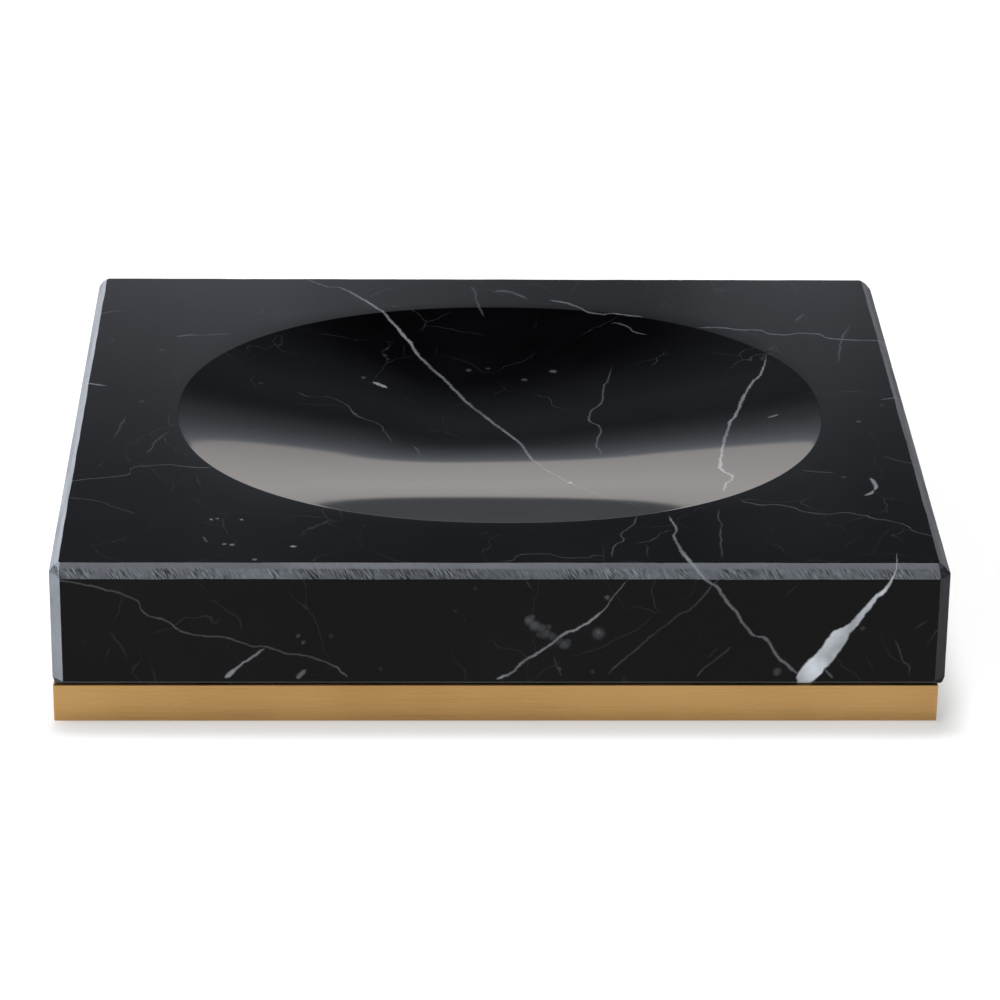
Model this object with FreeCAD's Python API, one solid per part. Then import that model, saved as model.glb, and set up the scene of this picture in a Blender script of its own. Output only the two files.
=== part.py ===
import FreeCAD, Part
import math
import os

# Soap dish: a stone slab with a shallow oval bowl ground into its top, bonded to a metal base plate.
# Millimetres. +Z is up, +Y runs to the back. The origin is on the surface that the dish stands on,
# under the middle of the slab.

# Stone slab
slab_width = 120.0  # left to right, X
slab_depth = 108.0  # front to back, Y
slab_thickness = 17.2
top_arris = 1.5  # flat ground along the top edges, measured along each face
corner_arris = 1.5  # the same along the upright corners
bottom_arris = 0.4  # the same along the bottom edges

# Bowl in the top of the slab
side_margin = 12.5  # stone left beside the bowl, if it were central
end_margin = 13.5  # stone left in front of the bowl and behind it, if it were central
bowl_sag = 5.6  # from the rim down to the lowest point
bowl_offset_x = 1.5  # the bowl sits this far right of the slab's middle
bowl_offset_y = 0.6  # and this far behind it
rim_ease_radius = 1.5  # round where the bowl meets the top face

# Base plate
plate_thickness = 5.5
plate_inset = 0.5  # from the slab's faces, if it were central
plate_offset_x = -0.4  # the plate sits this far off the slab's middle
plate_edge_ease = 0.15  # narrow flat along the plate's edges

# Adhesive film
bond_thickness = 0.3
bond_set_back = 1.5  # from the edge of the plate

# Feet
foot_diameter = 8.0
foot_thickness = 1.5
foot_proud = 0.5  # how far a foot stands out of its recess
foot_edge_ease = 0.25
foot_edge_distance = 12.0  # from the plate's edges to a foot's centre
foot_clearance = 0.1  # between a foot and the wall of its recess, all round

# How far a cutting solid runs past the face that it cuts
overrun = 1.0
full_turn = 360  # degrees

# Heights and lengths that follow
plate_bottom = foot_proud
plate_top = plate_bottom + plate_thickness
slab_bottom = plate_top + bond_thickness
slab_top = slab_bottom + slab_thickness
plate_width = slab_width - 2 * plate_inset
plate_depth = slab_depth - 2 * plate_inset
recess_depth = foot_thickness - foot_proud


def eased_section(width, height, bottom_ease, top_ease):
    """A rectangle about u = 0 from v = 0 up, with its bottom and top corners cut off, as (u, v) points."""
    half = width / 2
    right = [
        (half - bottom_ease, 0),
        (half, bottom_ease),
        (half, height - top_ease),
        (half - top_ease, height),
    ]
    left = [(-u, v) for u, v in reversed(right)]
    return right + left


def prism(points, along):
    """The solid swept by a closed polygon of points along a vector."""
    return Part.Face(Part.makePolygon(points + points[:1])).extrude(along)


def eased_block(width, depth, height, bottom_ease, top_ease, upright_ease):
    """A block standing on z = 0 about the Z axis, with a flat along each of its edges."""
    vector = FreeCAD.Vector
    front = eased_section(width, height, bottom_ease, top_ease)
    side = eased_section(depth, height, bottom_ease, top_ease)
    plan = eased_section(width, depth, upright_ease, upright_ease)
    seen_from_front = prism([vector(u, -depth / 2, v) for u, v in front], vector(0, depth, 0))
    seen_from_side = prism([vector(-width / 2, u, v) for u, v in side], vector(width, 0, 0))
    seen_from_above = prism([vector(u, v - depth / 2, 0) for u, v in plan], vector(0, 0, height))
    return seen_from_front.common(seen_from_side).common(seen_from_above)


def bowl_cutter():
    """The space of the bowl, with its rim on z = 0: a spherical cap with an eased rim, narrowed to an oval."""
    vector = FreeCAD.Vector
    bowl_width = slab_width - 2 * side_margin
    bowl_length = slab_depth - 2 * end_margin
    rim_radius = bowl_width / 2
    sphere_radius = (rim_radius**2 + bowl_sag**2) / (2 * bowl_sag)
    sphere_centre = vector(0, 0, sphere_radius - bowl_sag)

    # The round at the rim touches the top face from below and the sphere from outside.
    reach = sphere_radius + rim_ease_radius
    rise = sphere_centre.z + rim_ease_radius
    round_centre = vector(math.sqrt(reach**2 - rise**2), 0, -rim_ease_radius)
    outward = (round_centre - sphere_centre).normalize()
    lowest = vector(0, 0, -bowl_sag)
    half_way = (outward - vector(0, 0, 1)).normalize()
    on_sphere = sphere_centre + half_way * sphere_radius
    round_start = sphere_centre + outward * sphere_radius
    round_end = vector(round_centre.x, 0, 0)
    round_middle = round_centre + (vector(0, 0, 1) - outward).normalize() * rim_ease_radius
    above_rim = vector(round_centre.x, 0, overrun)
    above_middle = vector(0, 0, overrun)

    profile = Part.Wire(
        [
            Part.Arc(lowest, on_sphere, round_start).toShape(),
            Part.Arc(round_start, round_middle, round_end).toShape(),
            Part.makeLine(round_end, above_rim),
            Part.makeLine(above_rim, above_middle),
            Part.makeLine(above_middle, lowest),
        ]
    )
    round_bowl = Part.Face(profile).revolve(vector(0, 0, 0), vector(0, 0, 1), full_turn)
    narrowing = FreeCAD.Matrix()
    narrowing.scale(1, bowl_length / bowl_width, 1)
    return round_bowl.transformGeometry(narrowing)


def marble_dish():
    slab = eased_block(slab_width, slab_depth, slab_thickness, bottom_arris, top_arris, corner_arris)
    slab.translate(FreeCAD.Vector(0, 0, slab_bottom))
    bowl = bowl_cutter()
    bowl.translate(FreeCAD.Vector(bowl_offset_x, bowl_offset_y, slab_top))
    return slab.cut(bowl)


def foot_places():
    """Each foot's name with its centre in X and Y, one near each corner of the plate."""
    reach_x = plate_width / 2 - foot_edge_distance
    reach_y = plate_depth / 2 - foot_edge_distance
    places = {}
    for end, side_y in (("front", -1), ("back", 1)):
        for hand, side_x in (("left", -1), ("right", 1)):
            places[f"foot_{end}_{hand}"] = (plate_offset_x + side_x * reach_x, side_y * reach_y)
    return places


def brass_base():
    ease = plate_edge_ease
    plate = eased_block(plate_width, plate_depth, plate_thickness, ease, ease, ease)
    plate.translate(FreeCAD.Vector(plate_offset_x, 0, plate_bottom))
    recess_radius = foot_diameter / 2 + foot_clearance
    for x, y in foot_places().values():
        mouth = FreeCAD.Vector(x, y, plate_bottom - overrun)
        plate = plate.cut(Part.makeCylinder(recess_radius, recess_depth + overrun, mouth))
    return plate


def bond_layer():
    width = plate_width - 2 * bond_set_back
    depth = plate_depth - 2 * bond_set_back
    corner = FreeCAD.Vector(plate_offset_x - width / 2, -depth / 2, plate_top)
    return Part.makeBox(width, depth, bond_thickness, corner)


def foot(x, y):
    """A disc standing on z = 0, turned from its section, with a flat on the edge that it stands on."""
    vector = FreeCAD.Vector
    radius = foot_diameter / 2
    section = [
        vector(0, 0, 0),
        vector(radius - foot_edge_ease, 0, 0),
        vector(radius, 0, foot_edge_ease),
        vector(radius, 0, foot_thickness),
        vector(0, 0, foot_thickness),
    ]
    disc = Part.Face(Part.makePolygon(section + section[:1])).revolve(section[0], vector(0, 0, 1), full_turn)
    disc.translate(vector(x, y, 0))
    return disc


os.makedirs("parts", exist_ok=True)
pieces = {"marble_dish": marble_dish(), "brass_base": brass_base(), "bond_layer": bond_layer()}
for name, (x, y) in foot_places().items():
    pieces[name] = foot(x, y)
for name, shape in pieces.items():
    shape.exportStep(f"parts/{name}.step")
    print(name, shape.ShapeType, len(shape.Solids), "solid", shape.isValid(), round(shape.Volume, 2), "mm3")
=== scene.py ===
import math
import bpy
import numpy as np
from mathutils import Matrix, Vector


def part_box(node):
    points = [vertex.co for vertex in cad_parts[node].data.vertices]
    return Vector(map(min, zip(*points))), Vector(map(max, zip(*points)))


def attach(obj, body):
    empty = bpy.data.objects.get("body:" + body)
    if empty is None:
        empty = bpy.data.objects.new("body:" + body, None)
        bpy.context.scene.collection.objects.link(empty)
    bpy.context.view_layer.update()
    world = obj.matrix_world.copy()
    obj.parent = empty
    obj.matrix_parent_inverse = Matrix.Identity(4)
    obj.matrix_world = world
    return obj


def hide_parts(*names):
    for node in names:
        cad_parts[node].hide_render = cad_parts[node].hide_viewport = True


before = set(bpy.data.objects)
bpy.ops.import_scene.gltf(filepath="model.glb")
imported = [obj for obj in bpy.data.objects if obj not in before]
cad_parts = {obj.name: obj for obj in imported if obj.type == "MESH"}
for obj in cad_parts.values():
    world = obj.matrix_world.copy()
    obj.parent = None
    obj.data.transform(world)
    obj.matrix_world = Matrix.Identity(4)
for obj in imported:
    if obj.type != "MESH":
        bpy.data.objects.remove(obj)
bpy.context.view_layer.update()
mm = 0.001
print("frame loaded:", ", ".join(sorted(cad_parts)))


def toLinear(hexColour):
    # each sRGB channel through the standard curve, alpha 1
    channels = [int(hexColour[i:i + 2], 16) / 255 for i in (1, 3, 5)]
    return [c / 12.92 if c <= 0.04045 else ((c + 0.055) / 1.055) ** 2.4 for c in channels] + [1.0]


def addNode(tree, kind, inputs=None, **settings):
    # a node with its settings; inputs go by name or number, each a socket to link or a plain value
    node = tree.nodes.new("ShaderNode" + kind)
    for key, value in settings.items():
        setattr(node, key, value)
    for key, value in (inputs or {}).items():
        if isinstance(value, bpy.types.NodeSocket):
            tree.links.new(value, node.inputs[key])
        else:
            node.inputs[key].default_value = value
    return node


def newMaterial(name):
    material = bpy.data.materials.new(name)
    material.use_nodes = True
    material.node_tree.nodes.clear()
    return material, material.node_tree


def millimetres(tree):
    # Object coordinates, in metres, times 1000
    place = addNode(tree, "TexCoord")
    scaled = addNode(tree, "VectorMath", {0: place.outputs["Object"], "Scale": 1 / mm}, operation="SCALE")
    return scaled.outputs[0]


def woundSkin(name, rings, smoothAngle):
    # rings[i, j] is a point of ring i at station j, counter-clockwise from above, from the lowest ring up and
    # over; quads join neighbouring rings, and a fan joins each end ring to its own middle
    ringCount, stations = rings.shape[:2]
    points = np.concatenate([rings.reshape(-1, 3), rings[[0, -1]].mean(axis=1)])
    index = np.arange(ringCount * stations).reshape(ringCount, stations)
    onward = np.roll(index, -1, axis=1)
    quads = np.stack([index[:-1], onward[:-1], onward[1:], index[1:]], axis=-1).reshape(-1, 4)
    firstFan = np.stack([onward[0], index[0], np.full(stations, ringCount * stations)], axis=-1)
    lastFan = np.stack([index[-1], onward[-1], np.full(stations, ringCount * stations + 1)], axis=-1)
    mesh = bpy.data.meshes.new(name)
    mesh.from_pydata((points * mm).tolist(), [], quads.tolist() + firstFan.tolist() + lastFan.tolist())
    mesh.polygons.foreach_set("use_smooth", np.ones(len(mesh.polygons), dtype=bool))
    mesh.set_sharp_from_angle(angle=math.radians(smoothAngle))
    piece = bpy.data.objects.new(name, mesh)
    bpy.context.scene.collection.objects.link(piece)
    return piece


# Veins, read off one by one. u runs left to right across the dish, v from the front top edge: up it goes back
# over the top and the bowl, down it goes down the front. A third number is the vein's half width there. All
# in mm.
veins = dict(
    mainDiagonal=dict(tone=0.44, halfWidth=0.28, path=[
        (-40, 118, 0.2), (-31, 109.4, 0.16), (-26.5, 105, 0.12), (-24.6, 103, 0.16), (-21.9, 102, 0.2),
        (-18.5, 97), (-14.9, 90), (-12.2, 83.6, 0.32), (-9.6, 76.3), (-6.7, 70.7), (-2.9, 62), (0.2, 56.3),
        (3.3, 50.4), (5.2, 44, 0.25), (6.3, 41.3, 0.15), (10.7, 33, 0.1), (16.5, 25, 0.07),
        (23, 17.3, 0.12)]),
    mainDiagonalFront=dict(tone=0.47, halfWidth=0.24, path=[
        (23, 17.3, 0.15), (23.6, 15, 0.2), (24, 12.2, 0.2), (23.5, 10, 0.25), (23.9, 7.4),
        (24.7, 3.8, 0.35), (26.4, -0.3), (28.4, -2.4), (30.1, -4.8), (31.5, -6.6), (32.9, -8.8),
        (33.9, -9.9), (35.9, -10.8), (36.9, -12.5), (38.2, -14), (39.4, -15.2), (41, -16)]),
    bigWhite=dict(tone=0.97, halfWidth=0.4, path=[
        (53.3, 6, 0.02), (53, 3.6, 0.03), (52.4, -0.3, 0.08), (52, -1.6, 0.16), (51.2, -3, 0.28),
        (50.1, -4.2, 0.34), (48.9, -5.8, 0.42), (47.7, -7.5, 0.52), (46.5, -8.9, 0.66), (45.4, -10, 1.1),
        (43.9, -12.5, 1.3), (42.3, -14.5, 1.3), (41.5, -15.5, 1.35), (40.2, -17.3, 1.3)]),
    crossing=dict(tone=0.3, halfWidth=0.14, path=[
        (29.8, -0.6), (28.1, -2.4), (27.5, -3.4), (25.5, -5.7), (23.7, -6.9), (21.4, -9), (18.5, -11.7),
        (15.7, -14.3), (14, -16.3)]),
    crossingUpper=dict(tone=0.26, halfWidth=0.12, path=[
        (20.6, 0), (20.5, -2.1), (20.1, -3.8), (20.5, -5.6), (22.1, -6)]),
    crossingFaint=dict(tone=0.2, halfWidth=0.12, path=[
        (20.5, -6), (19.5, -7.8), (17.3, -9.5), (14.9, -10.9), (11.4, -12.5), (8.7, -13.1)]),
    frontMiddle=dict(tone=0.66, halfWidth=0.2, path=[
        (-0.6, -16.5), (0.5, -16, 0.25), (1.5, -15.4), (3.2, -13.8), (5.1, -12.5), (6.7, -11.3),
        (8.1, -10), (9.7, -9.2), (11.1, -8.3), (12.2, -7.7), (13, -6.9, 0.15), (13.8, -5.9, 0.1),
        (14.6, -4.7, 0.08), (15.6, -3.3, 0.08), (17.2, -1.5, 0.06)]),
    frontPatchTail=dict(tone=0.24, halfWidth=0.18, path=[
        (7.5, -12), (7.4, -14.2), (7.9, -15.2), (8.4, -16.3)]),
    frontHook=dict(tone=0.3, halfWidth=0.1, path=[(3.2, -0.4), (3.3, -1.7), (3.8, -2.7), (4.7, -3.2)]),
    frontLeft=dict(tone=0.4, halfWidth=0.13, path=[
        (-63, -1.2), (-58, -2), (-55.2, -2.4), (-52.3, -3.3), (-50.6, -3.7), (-48, -5.4), (-46.3, -7.2),
        (-45.1, -7.5), (-42.4, -9.3), (-39.8, -10), (-36, -10.5), (-33.3, -11.4), (-31.1, -11.7),
        (-28.4, -12.6), (-25.4, -13.2), (-22.4, -14.4, 0.16), (-21.3, -15.2, 0.18), (-20.2, -16.4, 0.2)]),
    frontLeftBranch=dict(tone=0.6, halfWidth=0.18, path=[
        (-31.1, -11.7), (-32.5, -12.6), (-33.9, -13.7), (-35.2, -14.9, 0.22), (-36.2, -15.7, 0.35),
        (-37, -16.3)]),
    frontLeftFaint=dict(tone=0.2, halfWidth=0.12, path=[
        (-39.4, -4.2), (-37.9, -5.1), (-36.4, -6.3), (-35.1, -7.3), (-34.7, -8.4), (-34.3, -9.7)]),
    frontLeftLow=dict(tone=0.2, halfWidth=0.14, path=[
        (-53.3, -9.1), (-51.5, -10.1), (-50.7, -11.2), (-50.2, -12.4), (-49.6, -14)]),
    frontLeftCurl=dict(tone=0.18, halfWidth=0.14, path=[(-52.6, -13.8), (-52.3, -12.3), (-51.4, -11.5)]),
    frontRight=dict(tone=0.32, halfWidth=0.13, path=[
        (31.2, -11.2), (30.3, -12.2), (29, -13.3), (27.7, -14.5), (26.7, -15.7), (26.3, -16.4)]),
    frontRightTwin=dict(tone=0.24, halfWidth=0.12, path=[(29.9, -11.2), (28.5, -12.5), (26.8, -13.9)]),
    frontRightShort=dict(tone=0.22, halfWidth=0.12, path=[(40, -1.8), (38.8, -3.2), (37, -4.8)]),
    frontCorner=dict(tone=0.32, halfWidth=0.12, path=[
        (52.4, -9.6), (53.3, -11.7), (54, -13.5), (54.9, -14.5), (55, -16.3)]),
    frontCornerUpper=dict(tone=0.24, halfWidth=0.12, path=[(54.9, -9.5), (56.3, -8.1), (57.6, -7.5)]),
    frontBesideBig=dict(tone=0.18, halfWidth=0.12, path=[(48.9, -12.3), (49.6, -14), (50.6, -15.7)]),
    bowlRight=dict(tone=0.5, halfWidth=0.22, path=[
        (41.5, 77), (40.5, 71.5, 0.16), (38.9, 67), (37.7, 64), (36.7, 60.5, 0.3), (35.2, 54.5, 0.3),
        (34.1, 51.3), (33.2, 46.5), (32.3, 40.8), (31.8, 36.5, 0.28), (32.7, 33, 0.3), (33, 31),
        (32, 28.8), (31.3, 24.5, 0.12)]),
    bowlRightOutside=dict(tone=0.3, halfWidth=0.13, path=[
        (30.7, 20.2), (29.9, 17), (30.2, 13.5), (29.7, 9.5), (29.6, 5.4), (29.3, 1.9)]),
    bowlMiddle=dict(tone=0.34, halfWidth=0.14, path=[
        (18.6, 76), (17.4, 69.3), (16.8, 67.5), (16.6, 63.6), (14.3, 58.3, 0.18), (14.6, 55.7, 0.18),
        (15.8, 52), (15.1, 49, 0.18), (15.2, 46), (16.2, 43)]),
    bowlLeft=dict(tone=0.28, halfWidth=0.13, path=[
        (-28.6, 64.5), (-27.4, 63.2), (-25, 63.3), (-22.6, 62.4), (-21.1, 60.6), (-19.7, 57.3, 0.22),
        (-16.7, 54.8), (-15.8, 52.7), (-15, 50.2), (-14.2, 46)]),
    bowlLeftLow=dict(tone=0.32, halfWidth=0.15, path=[(-12, 48.4), (-11, 46.2), (-10.3, 42.6)]),
    rightTop=dict(tone=0.36, halfWidth=0.13, path=[
        (33.2, 23), (34.2, 21.4), (36, 20.6), (39.8, 20.2), (41.2, 19), (42.3, 18.2), (46.5, 17.9),
        (49.6, 17.3), (51.2, 16.1), (53, 15.4), (54.8, 14.4), (56, 12.2), (57.6, 11), (59.5, 9.8),
        (64, 8.2)]),
    rightTopUpper=dict(tone=0.34, halfWidth=0.12, path=[(42, 33.2), (43.8, 32.2), (46, 31.9), (48, 31.4)]),
    rightTopEdge=dict(tone=0.28, halfWidth=0.13, path=[
        (53.9, 38), (55.6, 36.7), (57.4, 35.4), (60, 34.2), (64, 33)]),
    crescentUpper=dict(tone=0.55, halfWidth=0.35, path=[(52, 30.4), (52.4, 28.6), (52.5, 27), (52, 25.2)]),
    crescentLower=dict(tone=0.5, halfWidth=0.3, path=[(52.3, 26.2), (51.6, 24.6), (50.2, 23.6)]),
    backRight=dict(tone=0.36, halfWidth=0.24, path=[
        (31, 85.8), (33.9, 86.5), (35.8, 86.3), (38, 85.6), (40.5, 85.5), (42, 84.2), (44.2, 83.5),
        (47, 84.3), (49.5, 83.9), (50.8, 82.3), (53.6, 81.6), (59.4, 81.2), (64, 80.4)]),
    backRightUp=dict(tone=0.26, halfWidth=0.2, path=[
        (55.2, 88.5), (54.1, 85), (52.9, 80.5), (52.2, 76), (51.2, 70)]),
    backRightTop=dict(tone=0.26, halfWidth=0.22, path=[(46.8, 88), (47.2, 90), (47.9, 91.3), (49.2, 92)]),
    backMiddle=dict(tone=0.4, halfWidth=0.26, path=[
        (9, 98), (11.3, 97), (13, 95.6), (14.5, 94), (16.4, 92.2), (19, 92.2), (21.5, 91.4), (24.4, 90.2)]),
    backMiddleLow=dict(tone=0.34, halfWidth=0.22, path=[
        (18.2, 88.8), (20, 88.6), (21.5, 87.2), (22.4, 85.6), (24.6, 84.6)]),
    backLoop=dict(tone=0.28, halfWidth=0.5, path=[(0.3, 99.6), (2.4, 101.6), (4.7, 100), (6.6, 97.6)]),
    backUpright=dict(tone=0.28, halfWidth=0.2, path=[
        (-3, 104), (-2, 102), (-1.7, 98.8), (-1.1, 94), (-0.4, 90.6)]),
    diagonalTwig=dict(tone=0.2, halfWidth=0.2, path=[
        (-18.6, 98), (-17.2, 100.3), (-15.4, 102), (-13.5, 102.5)]),
    leftBack=dict(tone=0.26, halfWidth=0.2, path=[
        (-47.3, 82), (-45.4, 82.8, 0.35), (-43.1, 82.8, 0.16), (-40.7, 83.2), (-37.3, 84)]),
    leftEdge=dict(tone=0.24, halfWidth=0.2, path=[
        (-52.4, 52.4), (-53.1, 49.2), (-53.4, 46.2), (-54.4, 42.3)]),
    leftMiddle=dict(tone=0.28, halfWidth=0.16, path=[
        (-45.3, 46.5), (-46.9, 45), (-47.9, 42.4), (-48.4, 40), (-49.4, 37.4)]),
    leftLine=dict(tone=0.32, halfWidth=0.15, path=[
        (-64, 26.8), (-59, 28.4), (-54.6, 29.6), (-52, 30.3), (-50.9, 32), (-49.8, 33.5), (-46.4, 34.1),
        (-44, 33.7), (-41.2, 33.2), (-38.6, 33.3)]),
    leftLow=dict(tone=0.24, halfWidth=0.16, path=[
        (-64, 24.6), (-58.5, 22.8), (-54.4, 21.4), (-52.5, 19.6), (-50.4, 18.3), (-49, 16.7)]),
    leftTail=dict(tone=0.18, halfWidth=0.16, path=[(-41.7, 31), (-41.3, 28), (-40.6, 25.8)]),
    frontZigzag=dict(tone=0.38, halfWidth=0.11, path=[
        (18.6, 18), (18.5, 15.2), (17.1, 12.3), (16.4, 11), (16.6, 8.8), (15.5, 7.4), (15, 5), (14.6, 3.2)]),
    frontZigzagLeft=dict(tone=0.32, halfWidth=0.11, path=[
        (14.6, 3.4), (12.8, 4), (11.1, 3.3), (8.7, 3.2), (6.1, 4.5), (3.3, 4.4), (1.2, 2.2), (-1.4, 1.8)]),
    frontLink=dict(tone=0.3, halfWidth=0.1, path=[
        (16.6, 8.9), (19.5, 8.4), (20.8, 9.4), (22.6, 11.8), (24, 12.6)]),
    leftSide=dict(tone=0.5, halfWidth=0.2, path=[(-66, 66), (-60, 64.5), (-57.5, 63.4), (-55.6, 62.8)]),
    leftSideBack=dict(tone=0.34, halfWidth=0.14, path=[(-66, 90), (-60, 91), (-57, 92.6), (-53, 93.2)]),
    rightSide=dict(tone=0.46, halfWidth=0.18, path=[(66, 62), (60, 60), (57.8, 58.6), (55.8, 58.2)]),
    dashBowlLeft=dict(tone=0.5, halfWidth=0.4, path=[
        (-17.6, 69.4), (-16.9, 68.8), (-15.9, 68), (-15, 67.2)]),
    dashBowlRight=dict(tone=0.42, halfWidth=0.32, path=[
        (39.5, 53.2), (40.2, 53.5), (40.9, 53.8), (41.5, 54)]),
    dashFrontLeft=dict(tone=0.36, halfWidth=0.22, path=[
        (-40, 10.2), (-39.7, 9.4), (-39.4, 8.6), (-39, 7.8)]),
    mainDiagonalFoot=dict(tone=0.4, halfWidth=0.2, path=[
        (43, -14.4), (43.8, -15.2), (44.4, -15.9), (44.9, -16.5)]),
    dashFrontFoot=dict(tone=0.46, halfWidth=0.34, path=[
        (-27.4, -16.4), (-26.9, -16), (-26.4, -15.5), (-25.8, -14.9)]),
    frontLinkDown=dict(tone=0.3, halfWidth=0.1, path=[(19.5, 8.4), (19.7, 5.4), (19.9, 1.5)]),
)

# Flecks in the stone: u, v and radius in mm, tone
flecks = [
    (10.7, 33, 0.4, 0.6), (-18.8, 70.5, 0.4, 0.28), (-33.8, 66.3, 0.42, 0.18), (-15.7, 78.2, 0.42, 0.2),
    (-3.1, 74, 0.48, 0.24), (-0.2, 74.5, 0.42, 0.2), (5.2, 70.7, 0.5, 0.26), (9.4, 73.5, 0.6, 0.38),
    (52.5, 50, 0.48, 0.26), (48.4, 30, 0.34, 0.26), (56.5, 56.2, 0.42, 0.18), (-39, 15.6, 0.28, 0.5),
    (-38.2, 15.8, 0.26, 0.45), (-34.8, 15.5, 0.3, 0.4), (-37, 7.6, 0.36, 0.4), (-35.9, 7.4, 0.4, 0.4),
    (-27.7, 6.8, 0.38, 0.5), (-32.7, 2.7, 0.36, 0.36), (-50.8, 57, 0.48, 0.18), (-48.8, 77, 0.48, 0.18),
    (13.1, -9.6, 0.9, 0.28), (13.1, -9.5, 0.35, 0.38), (3.9, -7.8, 0.75, 0.34), (4.6, -8.5, 0.85, 0.35),
    (5.4, -8.9, 0.8, 0.32), (6, -9.6, 0.85, 0.32), (6.9, -10, 0.7, 0.3), (7.6, -10.6, 0.8, 0.28),
    (8.6, -11.3, 0.75, 0.33), (4.2, -7.2, 0.45, 0.28), (9, -10.8, 0.45, 0.26), (5.2, -9.7, 0.5, 0.26),
    (6.4, -8.7, 0.45, 0.26), (14.2, -4.3, 0.36, 0.4), (7.8, -14.8, 0.34, 0.26), (12.4, -15.4, 0.34, 0.22),
    (-6, -6.3, 0.32, 0.16), (-3.4, -3, 0.32, 0.16), (-16, -14.8, 0.34, 0.16), (48.4, -8.9, 0.4, 0.26),
    (37.2, -15.3, 0.6, 0.28), (-27.1, -10, 0.32, 0.28), (-26.3, -10.9, 0.32, 0.28),
    (-22.6, -10, 0.32, 0.2),
]

# sizes in mm; a fade says which part of a pattern is used and what it becomes
marbleLook = dict(
    stone="#030304", cloud="#08080a", vein="#e6edf5", ground="#787d84",
    ior=1.2, polish=0.05, groundRoughness=0.55,
    toneCurve=2.2,  # turns a tone into a share of white
    veinSoftness=0.1, veinCore=0.24,  # how far a vein fades outside its edge, and inside it
    wanderSize=2.6, wander=0.15,  # over what length the veins wander off their lines, and how far
    kinkSize=0.7, kink=0.08,
    toneSize=5.0, toneFade={"From Min": 0.3, "From Max": 0.7, "To Min": 0.45, "To Max": 1.2},
    fleckRim=1.25, fleckCore=0.3,  # where a fleck has faded out and where it is full, as shares of its radius
    networkSize=13.0, networkWidth=0.045, networkTone=0.2,  # the fine cracks between the veins
    bendSize=10.0, bend=8.0, gapsPerMm=0.09, gapFade={"From Min": 0.48, "From Max": 0.66},
    speckSpacing=4.5, speckRadius=0.2, speckTone=0.22, speckShare=0.6, speckEdge=0.02,
    cloudSize=16.0, cloudFade={"From Min": 0.42, "From Max": 0.75},
    facetSize=24.0, facetEdge={"From Min": 1.56, "From Max": 1.66},  # the two facets of a ground flat
    # the two facets' tones vary opposite ways with one lean noise: partly their own tone, partly painted
    # light and shade of their slope
    lowerFacetToneAndLight={"From Min": 0.35, "From Max": 0.65, "To Min": 0.6, "To Max": 1.15},
    upperFacetToneAndLight={"From Min": 0.35, "From Max": 0.65, "To Min": 1.25, "To Max": 0.85},
    rubbed=0.15, groundVein=0.9,
    sawSpacing=0.15, sawLength=1.3, sawLean=32.0, sawDepth=0.04,  # marks of the wheel, their lean in degrees
    sawPatch=3.5, patchFade={"From Min": 0.36, "From Max": 0.6, "To Min": 0.3, "To Max": 1.3},
    sawMiddle=0.52, sawShade={"From Min": -0.2, "From Max": 0.2, "To Min": 0.1, "To Max": 1.6},
)


def setCurve(node, along, values):
    # a smooth curve through the points, level beyond both ends
    node.mapping.use_clip = False
    node.mapping.extend = "HORIZONTAL"
    curve = node.mapping.curves[0]
    curve.points[0].location = (along[0], values[0])
    curve.points[1].location = (along[-1], values[-1])
    for x, y in zip(along[1:-1], values[1:-1]):
        curve.points.new(x, y)
    for point in curve.points:
        point.handle_type = "AUTO_CLAMPED"
    node.mapping.update()


def wayAlong(tree, flat, start, direction):
    # how far a point (u, v, 1) lies from start along a direction, as a dot product
    weights = (direction[0], direction[1], -float(np.dot(direction, start)))
    return addNode(tree, "VectorMath", {0: flat, 1: weights}, operation="DOT_PRODUCT").outputs["Value"]


def addVein(tree, flat, vein):
    # along the chord from its first point to its last, the vein's offset and half width are two curves; its
    # level falls from the tone to nothing over a soft edge, where the way off its line passes the half width
    line = np.array([point[:2] for point in vein["path"]], dtype=float)
    width = [point[2] if len(point) > 2 else vein["halfWidth"] for point in vein["path"]]
    start = line[0]
    chord = line[-1] - start
    length = np.hypot(*chord)
    onward = chord / length ** 2
    sideways = np.array([-chord[1], chord[0]]) / length
    along = (line - start) @ onward
    aside = (line - start) @ sideways
    soft = marbleLook["veinSoftness"]
    width[0] = width[-1] = -soft  # both ends die out
    way = wayAlong(tree, flat, start, onward)
    offset = addNode(tree, "FloatCurve", {"Value": way})
    setCurve(offset, along, aside)
    half = addNode(tree, "FloatCurve", {"Value": way})
    setCurve(half, along, width)
    lateral = wayAlong(tree, flat, start, sideways)
    off = addNode(tree, "Math", {0: lateral, 1: offset.outputs[0]}, operation="SUBTRACT")
    away = addNode(tree, "Math", {0: off.outputs[0]}, operation="ABSOLUTE")
    past = addNode(tree, "Math", {0: away.outputs[0], 1: half.outputs[0]}, operation="SUBTRACT")
    level = addNode(tree, "MapRange", {
        "Value": past.outputs[0], "From Min": soft, "From Max": -marbleLook["veinCore"], "To Min": 0.0,
        "To Max": vein["tone"] ** marbleLook["toneCurve"]}, interpolation_type="SMOOTHSTEP")
    return level.outputs[0]


def addFleck(tree, flat, fleck):
    # a spot, its level falling from the tone near its middle to nothing past its radius
    u, v, radius, tone = fleck
    away = addNode(tree, "VectorMath", {0: flat, 1: (u, v, 1.0)}, operation="DISTANCE")
    level = addNode(tree, "MapRange", {
        "Value": away.outputs["Value"], "From Min": marbleLook["fleckRim"] * radius,
        "From Max": marbleLook["fleckCore"] * radius, "To Min": 0.0,
        "To Max": tone ** marbleLook["toneCurve"]}, interpolation_type="SMOOTHSTEP")
    return level.outputs[0]


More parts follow.
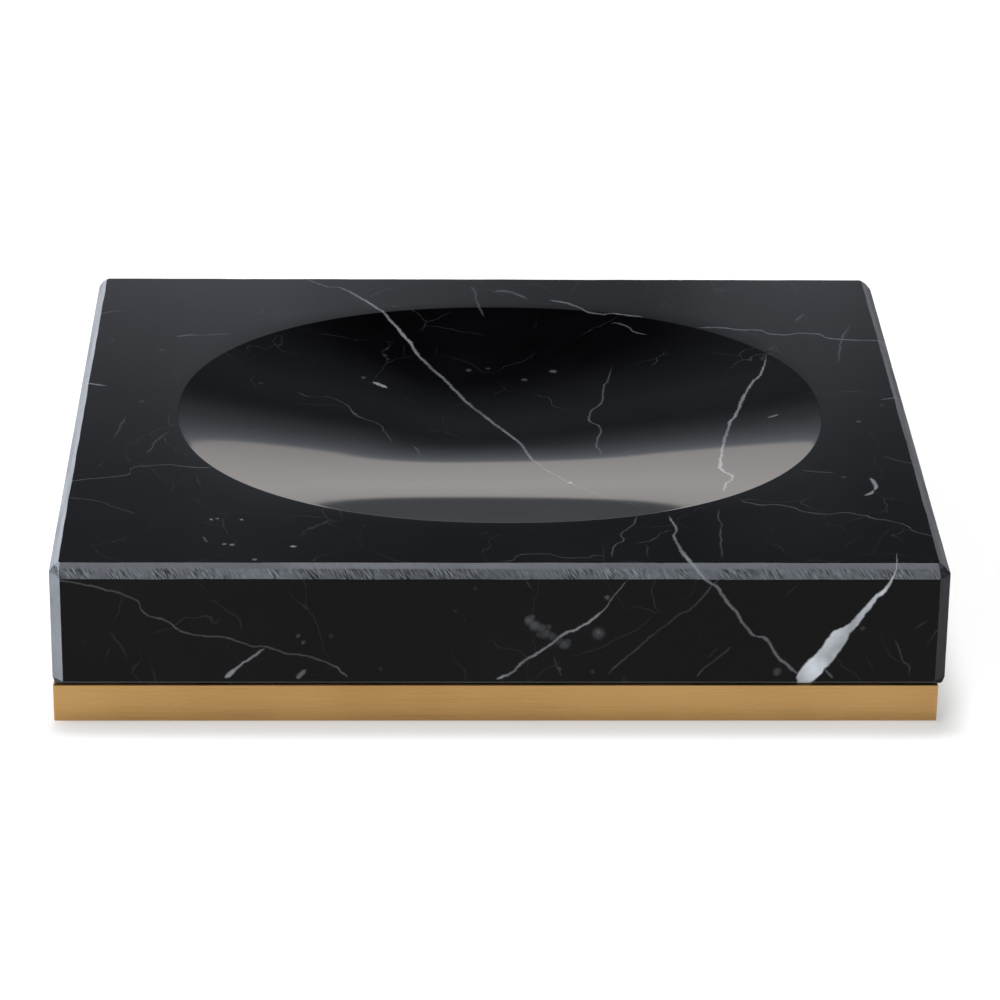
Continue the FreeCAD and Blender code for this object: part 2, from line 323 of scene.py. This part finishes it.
def veinMask(tree, place, look):
    # u is x; v is the way back from the front edge plus the height above the top, so that the veins are
    # sheets that dip into the stone at 45 degrees and run on from the top down the front
    low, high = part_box("marble_dish")
    frontTop = -(low.y + high.z) / mm
    apart = addNode(tree, "SeparateXYZ", {0: place})
    rise = addNode(tree, "Math", {0: apart.outputs["Y"], 1: apart.outputs["Z"]}, operation="ADD")
    dip = addNode(tree, "Math", {0: rise.outputs[0], 1: frontTop}, operation="ADD")
    flat = addNode(tree, "CombineXYZ", {"X": apart.outputs["X"], "Y": dip.outputs[0], "Z": 1.0}).outputs[0]
    for size, reach in ((look["wanderSize"], look["wander"]), (look["kinkSize"], look["kink"])):
        noise = addNode(tree, "TexNoise", {"Vector": place, "Scale": 1 / size, "Detail": 2.0})
        centred = addNode(tree, "VectorMath", {
            0: noise.outputs["Color"], 1: (0.5, 0.5, 0.5)}, operation="SUBTRACT")
        # noise keeps within about a quarter of its middle, so that 4 times it comes to the reach
        push = addNode(tree, "VectorMath", {
            0: centred.outputs[0], 1: (4 * reach, 4 * reach, 0)}, operation="MULTIPLY")
        flat = addNode(tree, "VectorMath", {0: flat, 1: push.outputs[0]}, operation="ADD").outputs[0]
    mask = addVein(tree, flat, veins["mainDiagonal"])
    for name, vein in veins.items():
        if name != "mainDiagonal":
            level = addVein(tree, flat, vein)
            mask = addNode(tree, "Math", {0: mask, 1: level}, operation="MAXIMUM").outputs[0]
    for fleck in flecks:
        level = addFleck(tree, flat, fleck)
        mask = addNode(tree, "Math", {0: mask, 1: level}, operation="MAXIMUM").outputs[0]
    return mask


def blackMarble():
    # Black marble, sawn, ground and polished: a near-black mirror with white calcite veins under the polish,
    # and grey, dull arrises that show the marks of the grinding wheel, with painted light and shade on them
    # by side and facet
    look = marbleLook
    material, tree = newMaterial("polishedBlackMarble")
    place = millimetres(tree)
    mask = veinMask(tree, place, look)
    fade = addNode(tree, "TexNoise", {"Vector": place, "Scale": 1 / look["toneSize"], "Detail": 3.0})
    fadeShare = addNode(tree, "MapRange", {"Value": fade.outputs[0], **look["toneFade"]})
    mask = addNode(tree, "Math", {0: mask, 1: fadeShare.outputs[0]}, operation="MULTIPLY").outputs[0]

    # fine cracks: edges of large cells, bent by noise, and shown only here and there
    bend = addNode(tree, "TexNoise", {"Vector": place, "Scale": 1 / look["bendSize"], "Detail": 3.0})
    bent = addNode(tree, "VectorMath", {
        0: bend.outputs["Color"], 1: (look["bend"],) * 3, 2: place}, operation="MULTIPLY_ADD")
    cells = addNode(tree, "TexVoronoi", {
        "Vector": bent.outputs[0], "Scale": 1 / look["networkSize"]}, feature="DISTANCE_TO_EDGE")
    crack = addNode(tree, "MapRange", {
        "Value": cells.outputs["Distance"], "From Min": look["networkWidth"] / look["networkSize"] * 2,
        "From Max": 0.0, "To Min": 0.0,
        "To Max": look["networkTone"] ** look["toneCurve"]}, interpolation_type="SMOOTHSTEP")
    gap = addNode(tree, "TexNoise", {"Vector": place, "Scale": look["gapsPerMm"], "Detail": 3.0})
    gapShare = addNode(tree, "MapRange", {"Value": gap.outputs[0], **look["gapFade"]})
    cracks = addNode(tree, "Math", {0: crack.outputs[0], 1: gapShare.outputs[0]}, operation="MULTIPLY")
    mask = addNode(tree, "Math", {0: mask, 1: cracks.outputs[0]}, operation="MAXIMUM").outputs[0]

    # specks: a small dot in some of the cells of a finer pattern
    dots = addNode(tree, "TexVoronoi", {"Vector": place, "Scale": 1 / look["speckSpacing"]})
    luck = addNode(tree, "SeparateColor", {0: dots.outputs["Color"]})
    reach = addNode(tree, "MapRange", {
        "Value": luck.outputs[0], "From Min": look["speckShare"], "From Max": 1.0, "To Min": 0.0,
        "To Max": look["speckRadius"] / look["speckSpacing"]})
    near = addNode(tree, "Math", {0: reach.outputs[0], 1: dots.outputs["Distance"]}, operation="SUBTRACT")
    speck = addNode(tree, "MapRange", {
        "Value": near.outputs[0], "From Min": 0.0, "From Max": look["speckEdge"], "To Min": 0.0,
        "To Max": look["speckTone"] ** look["toneCurve"]})
    mask = addNode(tree, "Math", {0: mask, 1: speck.outputs[0]}, operation="MAXIMUM").outputs[0]

    cloud = addNode(tree, "TexNoise", {"Vector": place, "Scale": 1 / look["cloudSize"], "Detail": 5.0})
    cloudShare = addNode(tree, "MapRange", {"Value": cloud.outputs[0], **look["cloudFade"]})
    # inputs 6 and 7 and output 2 of a Mix node are its colours
    body = addNode(tree, "Mix", {
        0: cloudShare.outputs[0], 6: toLinear(look["stone"]), 7: toLinear(look["cloud"])}, data_type="RGBA")
    polished = addNode(tree, "Mix", {
        0: mask, 6: body.outputs[2], 7: toLinear(look["vein"])}, data_type="RGBA")

    # arrisRun is the way along an arris and the way across it, in mm, then 0 on polished stone and 1 to 2 up
    # a ground flat, whose lower facet is scored by the wheel and whose upper one is rubbed
    run = addNode(tree, "Attribute", attribute_name="arrisRun")
    runApart = addNode(tree, "SeparateXYZ", {0: run.outputs["Vector"]})
    isGround = addNode(tree, "Math", {0: runApart.outputs["Z"], 1: 0.5}, operation="GREATER_THAN").outputs[0]
    saw = addNode(tree, "Mapping", {
        "Vector": run.outputs["Vector"], "Rotation": (0, 0, math.radians(look["sawLean"])),
        "Scale": (look["sawSpacing"], look["sawLength"], 1)}, vector_type="TEXTURE")
    marks = addNode(tree, "TexNoise", {"Vector": saw.outputs[0], "Scale": 1.0, "Detail": 3.0})
    upper = addNode(tree, "MapRange", {
        "Value": runApart.outputs["Z"], **look["facetEdge"]}, interpolation_type="SMOOTHSTEP")
    smear = addNode(tree, "MapRange", {"Value": upper.outputs[0], "To Min": 1.0, "To Max": look["rubbed"]})
    # the two facets' tones move opposite ways with their wandering lean: partly their own tone, partly
    # painted light and shade of their slope
    lean = addNode(tree, "TexNoise", {
        "Vector": run.outputs["Vector"], "Scale": 1 / look["facetSize"], "Detail": 2.0})
    lowerToneAndLight = addNode(tree, "MapRange", {"Value": lean.outputs[0], **look["lowerFacetToneAndLight"]})
    upperToneAndLight = addNode(tree, "MapRange", {"Value": lean.outputs[0], **look["upperFacetToneAndLight"]})
    facetToneAndLight = addNode(tree, "Mix", {0: upper.outputs[0], 2: lowerToneAndLight.outputs[0], 3: upperToneAndLight.outputs[0]})
    # the flat's tone by side: its paleness, with painted light on the left and painted shade on the right and
    # underneath
    tone = addNode(tree, "Attribute", attribute_name="arrisToneAndLight")
    deep = addNode(tree, "Attribute", attribute_name="arrisBite")
    patch = addNode(tree, "TexNoise", {
        "Vector": run.outputs["Vector"], "Scale": 1 / look["sawPatch"], "Detail": 1.0})
    patchShare = addNode(tree, "MapRange", {"Value": patch.outputs[0], **look["patchFade"]})
    rub = addNode(tree, "Math", {0: smear.outputs[0], 1: deep.outputs["Fac"]}, operation="MULTIPLY")
    bite = addNode(tree, "Math", {0: rub.outputs[0], 1: patchShare.outputs[0]}, operation="MULTIPLY")
    centredMarks = addNode(tree, "Math", {0: marks.outputs[0], 1: look["sawMiddle"]}, operation="SUBTRACT")
    scored = addNode(tree, "Math", {0: centredMarks.outputs[0], 1: bite.outputs[0]}, operation="MULTIPLY")
    shade = addNode(tree, "MapRange", {"Value": scored.outputs[0], **look["sawShade"]})
    # the ground flats' colour: their paleness and marks, times painted light and shade by side and by facet
    pale = addNode(tree, "Math", {0: tone.outputs["Fac"], 1: facetToneAndLight.outputs[0]}, operation="MULTIPLY")
    dustAndPaintedLight = addNode(tree, "Math", {0: shade.outputs[0], 1: pale.outputs[0]}, operation="MULTIPLY")
    dustyAndPaintedLight = addNode(tree, "VectorMath", {
        0: toLinear(look["ground"])[:3], "Scale": dustAndPaintedLight.outputs[0]}, operation="SCALE")
    groundVein = addNode(tree, "Math", {0: mask, 1: look["groundVein"]}, operation="MULTIPLY")
    groundStone = addNode(tree, "Mix", {
        0: groundVein.outputs[0], 6: dustyAndPaintedLight.outputs[0], 7: toLinear(look["vein"])}, data_type="RGBA")
    colour = addNode(tree, "Mix", {
        0: isGround, 6: polished.outputs[2], 7: groundStone.outputs[2]}, data_type="RGBA")
    roughness = addNode(tree, "MapRange", {
        "Value": isGround, "To Min": look["polish"], "To Max": look["groundRoughness"]})
    depth = addNode(tree, "Math", {0: scored.outputs[0], 1: isGround}, operation="MULTIPLY")
    relief = addNode(tree, "Bump", {
        "Height": depth.outputs[0], "Distance": look["sawDepth"] * mm, "Strength": 1.0})
    shader = addNode(tree, "BsdfPrincipled", {
        "Base Color": colour.outputs[2], "Roughness": roughness.outputs[0], "IOR": look["ior"],
        "Normal": relief.outputs[0]})
    addNode(tree, "OutputMaterial", {"Surface": shader.outputs[0]})
    return material


# lengths in mm; four values go round the sides, front, right, back and left, or round the upright corners,
# front right, back right, back left and front left
dishShape = dict(
    topArris=(1.65, 1.5, 1.5, 1.2),  # flats ground along the top edges
    flatToneAndLight=(0.7, 0.64, 0.75, 1.65), flatBite=(1.0, 0.4, 0.5, 0.3),  # how pale they are, the left flat far paler as painted light, how deep the marks
    cornerArris=1.5, cornerToneAndLight=(0.28, 0.55, 0.75, 1.4), cornerBite=(1.5, 2.0, 2.0, 1.5),  # upright flats, paler on the front left as painted light and darker on the front right as painted shade
    bottomArris=0.4, bottomToneAndLight=0.3, bottomBite=0.6,  # flats under the slab, darker as painted shade
    topCorner=0.3, underInset=1.6,  # cut at the top face's corners; inner ring of the underside
    knee=0.6, kneeBulge=0.08,  # the share of a top flat where its slope eases, and how far it bulges there
    waver=0.035, waverLength=9.0, waverSteps=(1.0, 1.7, 2.9, 5.3), wayRound=460.0,  # hand-held grinding
    bowlWidth=92.6, bowlLength=80.0, bowlSag=5.3, bowlOffset=(1.0, 0.6), bowlPower=2.17, rimEase=0.5,
    sideStations=110, topRings=6, easeRings=8, bowlRings=72, smoothAngle=25,
)


def slabRing(half, insets, heights, cut, waver, shape):
    # an octagon: a rectangle set in by front, right, back and left insets, its corners cut off, walked
    # counter-clockwise from the front left; waver moves each point square to its side
    front, right, back, left = insets
    west, east = -half[0] + left, half[0] - right
    south, north = -half[1] + front, half[1] - back
    starts = np.array([(west + cut, south), (east, south + cut), (east - cut, north), (west, north - cut)])
    ends = np.array([(east - cut, south), (east, north - cut), (west + cut, north), (west, south + cut)])
    inward = np.array([(0, 1), (-1, 0), (0, -1), (1, 0)])
    share = np.linspace(0, 1, shape["sideStations"])[None, :, None]
    plan = starts[:, None] * (1 - share) + ends[:, None] * share
    plan = plan + inward[:, None] * waver.reshape(4, -1, 1)
    height = np.repeat(np.array(heights, dtype=float), shape["sideStations"])
    return np.column_stack([plan.reshape(-1, 2), height])


def unevenness(shape, seed):
    # four slow waves of growing length along the arris, with settled phases
    lengths = shape["waverLength"] * np.array(shape["waverSteps"])
    phases = np.random.default_rng(seed).uniform(0, 2 * math.pi, len(lengths))
    way = np.linspace(0, shape["wayRound"], 4 * shape["sideStations"])
    waves = np.sin(2 * math.pi * way[:, None] / lengths + phases)
    return shape["waver"] * waves.sum(axis=1) / 2


def dishRings(shape):
    # from the underside out, up the side, in over the top flats and the top face, and down into the bowl
    low, high = [np.array(corner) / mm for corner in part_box("marble_dish")]
    half = (high[:2] - low[:2]) / 2
    arris = np.array(shape["topArris"])
    straight = np.zeros(4 * shape["sideStations"])
    level = np.ones(4)
    upper, lower = unevenness(shape, 3), unevenness(shape, 8)
    bottom, corner, nick = shape["bottomArris"], shape["cornerArris"], shape["topCorner"]
    kneeIn, bulge = arris * shape["knee"], shape["kneeBulge"]
    outlines = [  # insets, heights, corner cut and waver of each ring
        (level * shape["underInset"], level * low[2], nick, straight),
        (level * bottom, level * low[2], nick, straight),
        (level * 0, level * (low[2] + bottom), corner, straight),
        (level * 0, high[2] - arris, corner, straight),
        (kneeIn - bulge, high[2] - arris + kneeIn + bulge, corner / 2, lower / 2),
        (arris, level * high[2], nick, upper),
    ]
    rings = [slabRing(half, *outline, shape) for outline in outlines]
    rings[3][:, 2] += lower
    edge = rings[-1]

    # the bowl's section is half a cosine wave, with a round where it meets the top face; its outline is an
    # oval with blunt ends, the sum of the powers of its two shares being 1 round the rim
    bowlHalf = np.array([shape["bowlWidth"], shape["bowlLength"]]) / 2
    middle = np.array(shape["bowlOffset"])
    sag, ease = shape["bowlSag"], shape["rimEase"]
    quarter = math.pi / 2 / bowlHalf[0]
    lean = math.atan(quarter * sag)
    turn = np.linspace(0, lean, shape["easeRings"])
    rimRadii = bowlHalf[0] + ease * (math.tan(lean / 2) - np.sin(turn))
    bowlRadii = np.linspace(rimRadii[-1], 0, shape["bowlRings"] + 1)[1:-1]
    radii = np.concatenate([rimRadii, bowlRadii])
    drops = np.concatenate([ease * (np.cos(turn) - 1), -sag * np.cos(quarter * bowlRadii)])
    out = (edge[:, :2] - middle) / bowlHalf
    reach = (np.abs(out) ** shape["bowlPower"]).sum(axis=1, keepdims=True) ** (1 / shape["bowlPower"])
    oval = out / reach * bowlHalf / bowlHalf[0]
    rimRing = np.column_stack([middle + oval * radii[0], edge[:, 2]])
    steps = np.linspace(0, 1, shape["topRings"] + 1)[1:-1, None, None]
    top = edge * (1 - steps) + rimRing * steps
    bowl = np.concatenate([
        middle + oval * radii[:, None, None],
        np.broadcast_to(high[2] + drops[:, None, None], (len(radii), len(oval), 1))], axis=2)
    return np.concatenate([np.array(rings), top, bowl])


def buildDish(shape):
    # the skin of rings; each of its corners holds the way along and across the arris, for the wheel's marks,
    # and how pale the flat is, with painted light and shade by side, and how deeply marked it is
    rings = dishRings(shape)
    piece = woundSkin("marbleDish", rings, shape["smoothAngle"])
    mesh = piece.data
    bands, stations = len(rings) - 1, rings.shape[1]
    along = np.linalg.norm(np.roll(rings[2], -1, axis=0) - rings[2], axis=1).cumsum()
    along = np.concatenate([[0], along])
    climb = np.linalg.norm(np.diff(rings, axis=0), axis=2).cumsum(axis=0)
    across = np.concatenate([np.zeros((1, stations)), climb])
    across = np.concatenate([across, across[:, :1]], axis=1)
    isCorner = (np.arange(stations) % shape["sideStations"]) == shape["sideStations"] - 1
    kneeShare = 1.0 + shape["knee"]
    upShare = {3: (1.0, kneeShare), 4: (kneeShare, 2.0)}
    run = np.zeros((bands, stations, 4, 3))
    for k, (up, on) in enumerate(((0, 0), (0, 1), (1, 1), (1, 0))):
        s = np.broadcast_to(along[on:stations + on], (bands, stations))
        p = across[up:bands + up, on:stations + on]
        run[:, :, k, 0] = np.where(isCorner, p, s)
        run[:, :, k, 1] = np.where(isCorner, s, p)
        for band, share in upShare.items():
            run[band, :, k, 2] = share[up]
        run[2, isCorner, k, 2] = 2.0  # the upright flats
        run[1, :, k, 2] = 2.0  # the flats under the slab
    values = np.zeros((len(mesh.loops), 3))
    values[:run.size // 3] = run.reshape(-1, 3)
    mesh.attributes.new("arrisRun", "FLOAT_VECTOR", "CORNER").data.foreach_set("vector", values.ravel())
    sides = np.arange(stations) // shape["sideStations"]
    # a flat's tone is its paleness with painted light and shade by side; its bite is the depth of its marks
    for word in ("ToneAndLight", "Bite"):
        flats, corners = np.array(shape["flat" + word]), np.array(shape["corner" + word])
        level = np.where(isCorner, corners[sides], flats[sides])
        bandLevels = np.tile(level[None, :, None], (bands, 1, 4))
        bandLevels[1] = shape["bottom" + word]
        levels = np.ones(len(mesh.loops))
        levels[:bandLevels.size] = bandLevels.ravel()
        mesh.attributes.new("arris" + word, "FLOAT", "CORNER").data.foreach_set("value", levels)
    mesh.materials.append(blackMarble())
    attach(piece, "root")
    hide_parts("marble_dish")
    return piece


dish = buildDish(dishShape)
print("marble dish:", len(dish.data.polygons), "faces,", len(dish.data.materials[0].node_tree.nodes), "nodes")


brassLook = dict(
    light="#b18d5a", dark="#a07c4c", toneFade={"From Min": 0.7, "From Max": 1.3},
    lineSpacing=0.12, lineLength=14.0, lineDepth=0.004, patchSize=22.0,  # in mm
    sheen={"From Min": 0.3, "From Max": 0.7, "To Min": 0.24, "To Max": 0.38},  # roughness along the lines
)


def brushedBrass():
    # Brass plate, brushed along its edges and lacquered: a warm satin metal with fine lines that run level
    look = brassLook
    material, tree = newMaterial("brushedBrass")
    place = millimetres(tree)
    # drawn coarser than real brushing, which is too fine to show
    perMm = (1 / look["lineLength"], 1 / look["lineLength"], 1 / look["lineSpacing"])
    stretched = addNode(tree, "VectorMath", {0: place, 1: perMm}, operation="MULTIPLY")
    lines = addNode(tree, "TexNoise", {"Vector": stretched.outputs[0], "Scale": 1.0, "Detail": 4.0})
    patches = addNode(tree, "TexNoise", {"Vector": place, "Scale": 1 / look["patchSize"], "Detail": 2.0})
    both = addNode(tree, "Math", {0: lines.outputs[0], 1: patches.outputs[0]}, operation="ADD")
    share = addNode(tree, "MapRange", {"Value": both.outputs[0], **look["toneFade"]})
    colour = addNode(tree, "Mix", {
        0: share.outputs[0], 6: toLinear(look["dark"]), 7: toLinear(look["light"])}, data_type="RGBA")
    roughness = addNode(tree, "MapRange", {"Value": lines.outputs[0], **look["sheen"]})
    relief = addNode(tree, "Bump", {
        "Height": lines.outputs[0], "Distance": look["lineDepth"] * mm, "Strength": 1.0})
    shader = addNode(tree, "BsdfPrincipled", {
        "Base Color": colour.outputs[2], "Metallic": 1.0, "Roughness": roughness.outputs[0],
        "Normal": relief.outputs[0]})
    addNode(tree, "OutputMaterial", {"Surface": shader.outputs[0]})
    return material


def dress(node, material):
    # a CAD node keeps its shape and takes a finished material
    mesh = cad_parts[node].data
    mesh.materials.clear()
    mesh.materials.append(material)


dress("brass_base", brushedBrass())
print("brass base dressed")


adhesiveLook = dict(dark="#17130f", pale="#2a241d", lumpSize=2.5, lumpDepth=0.05, roughness=0.6)


def curedAdhesive():
    # Stone adhesive, spread and cured: a matt dark film with slow lumps
    look = adhesiveLook
    material, tree = newMaterial("curedStoneAdhesive")
    place = millimetres(tree)
    lumps = addNode(tree, "TexNoise", {"Vector": place, "Scale": 1 / look["lumpSize"], "Detail": 3.0})
    colour = addNode(tree, "Mix", {
        0: lumps.outputs[0], 6: toLinear(look["dark"]), 7: toLinear(look["pale"])}, data_type="RGBA")
    relief = addNode(tree, "Bump", {"Height": lumps.outputs[0], "Distance": look["lumpDepth"] * mm})
    shader = addNode(tree, "BsdfPrincipled", {
        "Base Color": colour.outputs[2], "Roughness": look["roughness"], "Normal": relief.outputs[0]})
    addNode(tree, "OutputMaterial", {"Surface": shader.outputs[0]})
    return material


dress("bond_layer", curedAdhesive())
print("adhesive dressed")


footLook = dict(
    clear="#b9bab6", cloudy="#d8d8d2", cloudSize=3.0, grainSize=0.25, grainDepth=0.01,  # sizes in mm
    roughness=0.45, ior=1.41)


def mouldedSilicone():
    # Moulded silicone bumper: cloudy, soft and slightly satin, with a fine moulded grain
    look = footLook
    material, tree = newMaterial("mouldedSilicone")
    place = millimetres(tree)
    cloud = addNode(tree, "TexNoise", {"Vector": place, "Scale": 1 / look["cloudSize"], "Detail": 2.0})
    grain = addNode(tree, "TexNoise", {"Vector": place, "Scale": 1 / look["grainSize"], "Detail": 1.0})
    colour = addNode(tree, "Mix", {
        0: cloud.outputs[0], 6: toLinear(look["clear"]), 7: toLinear(look["cloudy"])}, data_type="RGBA")
    relief = addNode(tree, "Bump", {"Height": grain.outputs[0], "Distance": look["grainDepth"] * mm})
    shader = addNode(tree, "BsdfPrincipled", {
        "Base Color": colour.outputs[2], "Roughness": look["roughness"], "IOR": look["ior"],
        "Normal": relief.outputs[0]})
    addNode(tree, "OutputMaterial", {"Surface": shader.outputs[0]})
    return material


silicone = mouldedSilicone()
for node in sorted(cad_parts):
    if node.startswith("foot_"):
        dress(node, silicone)
print("feet dressed")


stage = dict(floorSize=6.0, paper="#d0d0d0", roughness=0.9, glow=0.46)  # size in metres


def paperFloor():
    # White paper, smooth and matt: it takes the dish's shadow, and is white to the camera and in the polish
    material, tree = newMaterial("whitePaper")
    ray = addNode(tree, "LightPath")
    seen = addNode(tree, "Math", {
        0: ray.outputs["Is Camera Ray"], 1: ray.outputs["Is Glossy Ray"]}, operation="MAXIMUM")
    seen = addNode(tree, "Math", {
        0: seen.outputs[0], 1: ray.outputs["Is Transmission Ray"]}, operation="MAXIMUM")
    glow = addNode(tree, "Math", {0: seen.outputs[0], 1: stage["glow"]}, operation="MULTIPLY")
    shader = addNode(tree, "BsdfPrincipled", {
        "Base Color": toLinear(stage["paper"]), "Roughness": stage["roughness"], "Specular IOR Level": 0.0,
        "Emission Color": (1, 1, 1, 1), "Emission Strength": glow.outputs[0]})
    addNode(tree, "OutputMaterial", {"Surface": shader.outputs[0]})
    return material


def buildFloor():
    reach = stage["floorSize"] / 2
    mesh = bpy.data.meshes.new("floor")
    corners = [(-reach, -reach, 0), (reach, -reach, 0), (reach, reach, 0), (-reach, reach, 0)]
    mesh.from_pydata(corners, [], [(0, 1, 2, 3)])
    mesh.materials.append(paperFloor())
    floor = bpy.data.objects.new("floor", mesh)
    bpy.context.scene.collection.objects.link(floor)


# the room, which the polish mirrors: a low pale sweep, brightest on the left, under a dark ceiling
sweep = dict(
    levels=[  # elevation in degrees, sRGB colour, strength
        (0, "#fffaf8", 1.3), (4.5, "#fffaf8", 1.4), (9, "#fffaf8", 2.1),
        (17.1, "#fffaf8", 2.7), (17.4, "#e4eaf6", 1.45), (19, "#e2e9f6", 1.0), (20.6, "#e2e9f6", 0.7),
        (22.2, "#e2e9f6", 0.43), (23.6, "#e2e9f6", 0.27), (25.2, "#e2e9f6", 0.21), (28, "#e2e9f6", 0.28),
        (31, "#e2e9f6", 0.33), (35.5, "#e2e9f6", 0.24), (40, "#e2e9f6", 0.05), (44, "#e2e9f6", 0.012),
        (90, "#e2e9f6", 0.004)],
    leftGain=2.2, rightGain=0.3, sideRange=(-0.9, 0.6), frontGain=0.4, depthRange=(-0.3, 0.3),
    rise=[  # direction to the right, and by how many degrees the levels stand higher there
        (-0.1, 0.2), (-0.06, 0.5), (-0.042, 1.0), (-0.03, 1.0), (-0.014, 0.4), (0.013, -0.4), (0.037, -1.1),
        (0.055, -1.2), (0.065, -0.8), (0.075, 0.2), (0.085, 0.7), (0.1, 0.9), (0.115, 0.3), (0.15, 0.2)],
    shadeHeight=4.4, shadeBlur=0.15, shade="#e9f0fa", shadeStrength=0.3,  # the foot of the sweep, in degrees
)


def buildRoom():
    # strength by elevation, raised or lowered by direction, less in the shade at the foot of the sweep, times
    # a gain by left and right and a gain by back and front; the camera sees white
    world = bpy.data.worlds.new("lowPaleSweep")
    bpy.context.scene.world = world
    world.use_nodes = True
    tree = world.node_tree
    tree.nodes.clear()
    place = addNode(tree, "TexCoord")
    apart = addNode(tree, "SeparateXYZ", {0: place.outputs["Generated"]})
    rise = addNode(tree, "FloatCurve", {"Value": apart.outputs["X"]})
    directions, angles = zip(*sweep["rise"])
    setCurve(rise, directions, [math.radians(angle) for angle in angles])
    level = addNode(tree, "Math", {0: apart.outputs["Z"], 1: rise.outputs[0]}, operation="SUBTRACT")
    ramp = addNode(tree, "ValToRGB", {0: level.outputs[0]})
    levels = sweep["levels"]
    strongest = max(strength for angle, colour, strength in levels)
    while len(ramp.color_ramp.elements) < len(levels):
        ramp.color_ramp.elements.new(0.5)
    for element, (angle, colour, strength) in zip(ramp.color_ramp.elements, levels):
        element.position = math.sin(math.radians(angle))
        element.color = [c * strength / strongest for c in toLinear(colour)[:3]] + [1.0]
    foot, blur = math.radians(sweep["shadeHeight"]), math.radians(sweep["shadeBlur"])
    shaded = addNode(tree, "MapRange", {
        "Value": apart.outputs["Z"], "From Min": foot + blur, "From Max": foot - blur})
    dim = [c * sweep["shadeStrength"] / strongest for c in toLinear(sweep["shade"])[:3]] + [1.0]
    paper = addNode(tree, "Mix", {0: shaded.outputs[0], 6: ramp.outputs[0], 7: dim}, data_type="RGBA")
    left, right = sweep["sideRange"]
    sideways = addNode(tree, "MapRange", {
        "Value": apart.outputs["X"], "From Min": left, "From Max": right, "To Min": sweep["leftGain"],
        "To Max": sweep["rightGain"]})
    front, back = sweep["depthRange"]
    depthways = addNode(tree, "MapRange", {
        "Value": apart.outputs["Y"], "From Min": front, "From Max": back, "To Min": sweep["frontGain"],
        "To Max": 1.0})
    gain = addNode(tree, "Math", {0: sideways.outputs[0], 1: depthways.outputs[0]}, operation="MULTIPLY")
    strength = addNode(tree, "Math", {0: gain.outputs[0], 1: strongest}, operation="MULTIPLY")
    room = addNode(tree, "Background", {"Color": paper.outputs[2], "Strength": strength.outputs[0]})
    white = addNode(tree, "Background", {"Color": (1, 1, 1, 1), "Strength": 1.0})
    ray = addNode(tree, "LightPath")
    seen = addNode(tree, "MixShader", {
        0: ray.outputs["Is Camera Ray"], 1: room.outputs[0], 2: white.outputs[0]})
    addNode(tree, "OutputWorld", {"Surface": seen.outputs[0]})


# softboxes: place and aim in metres, size in metres, power in watts
softboxes = dict(
    overhead=dict(place=(-0.02, 0.06, 0.76), aim=(0, 0, 0), size=(0.34, 0.27), power=15.0),
    frontLeft=dict(place=(-0.6, -0.75, 0.55), aim=(0, 0, 0.01), size=(1.2, 1.2), power=14.6),
    left=dict(place=(-0.8, 0.0, 0.4), aim=(0, 0, 0.01), size=(0.85, 0.68), power=3.2),
)
boxFade = {"From Min": 0.5, "From Max": 0.1}  # from the middle of a box, its side being 1


def softenEdge(lamp):
    # full strength in the middle of the box, falling to nothing at its rim, as through a thick diffuser
    lamp.use_nodes = True
    tree = lamp.node_tree
    tree.nodes.clear()
    spot = addNode(tree, "NewGeometry")
    away = addNode(tree, "VectorMath", {
        0: spot.outputs["Parametric"], 1: (0.5, 0.5, 0)}, operation="DISTANCE")
    level = addNode(tree, "MapRange", {
        "Value": away.outputs["Value"], **boxFade}, interpolation_type="SMOOTHSTEP")
    glow = addNode(tree, "Emission", {"Strength": level.outputs[0]})
    addNode(tree, "OutputLight", {"Surface": glow.outputs[0]})


def buildLights():
    for name, box in softboxes.items():
        lamp = bpy.data.lights.new(name, "AREA")
        lamp.shape = "RECTANGLE"
        lamp.size, lamp.size_y = box["size"]
        lamp.energy = box["power"]
        softenEdge(lamp)
        holder = bpy.data.objects.new(name, lamp)
        bpy.context.scene.collection.objects.link(holder)
        holder.location = box["place"]
        away = np.array(box["aim"]) - np.array(box["place"])
        holder.rotation_euler = Vector(away).to_track_quat("-Z", "Y").to_euler()


# the photograph's camera, fitted to the dish's edges: angles in degrees, place in mm
cameraView = dict(
    pitch=24.0, yaw=1.558, roll=0.697, lens=152.04, sensor=36.0, place=(-14.09, -561.48, 259.40))


def buildCamera():
    pitch, yaw, roll = [math.radians(cameraView[key]) for key in ("pitch", "yaw", "roll")]
    ahead = np.array([math.sin(yaw) * math.cos(pitch), math.cos(yaw) * math.cos(pitch), -math.sin(pitch)])
    right = np.array([math.cos(yaw), -math.sin(yaw), 0.0])
    up = np.cross(right, ahead)
    rolledRight = math.cos(roll) * right + math.sin(roll) * up
    rolledUp = math.cos(roll) * up - math.sin(roll) * right
    lens = bpy.data.cameras.new("camera")
    lens.lens, lens.sensor_width = cameraView["lens"], cameraView["sensor"]
    camera = bpy.data.objects.new("camera", lens)
    bpy.context.scene.collection.objects.link(camera)
    axes = np.eye(4)
    axes[:3, 0], axes[:3, 1], axes[:3, 2] = rolledRight, rolledUp, -ahead
    axes[:3, 3] = np.array(cameraView["place"]) * mm
    camera.matrix_world = Matrix(axes.tolist())
    bpy.context.scene.camera = camera


buildFloor()
buildRoom()
buildLights()
buildCamera()
bpy.context.scene.view_settings.view_transform = "Standard"
print("stage, lights and camera ready")
